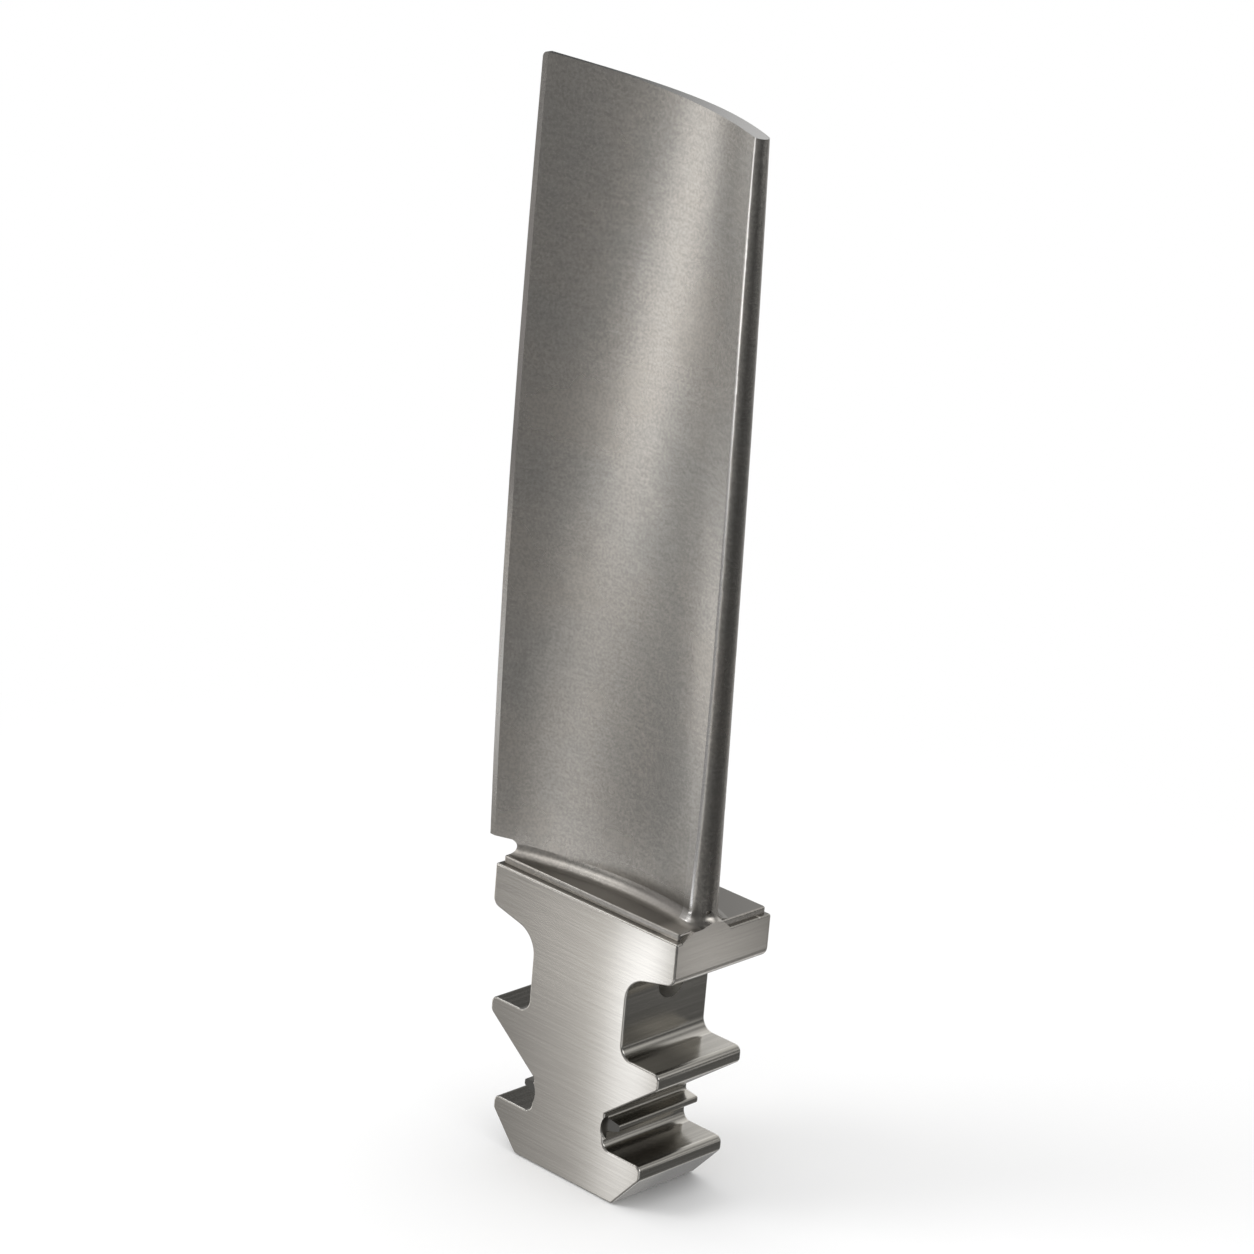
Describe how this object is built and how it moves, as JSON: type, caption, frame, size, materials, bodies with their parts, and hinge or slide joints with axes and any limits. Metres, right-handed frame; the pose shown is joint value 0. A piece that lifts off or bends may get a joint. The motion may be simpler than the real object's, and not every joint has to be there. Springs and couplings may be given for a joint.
{
  "type": "turbine blade",
  "caption": "Turbine blade: a curved, tapering airfoil with a relief slot under its trailing edge, on a platform with a fir-tree root that slides into the slot of a disc.",
  "frame": {"origin": "middle of the flat base of the root, where the blade would stand on a bench", "axes": "+Z along the span from the root to the tip, +X across the fir tree towards the leading edge, +Y along the slot of the disc, from the profiled front face to the platform's overhang"},
  "size_m": [0.0501, 0.0245, 0.1997],
  "materials": {
    "blade": "satin"
  },
  "bodies": {
    "root": {"blade": "blade"}
  },
  "joints": []
}
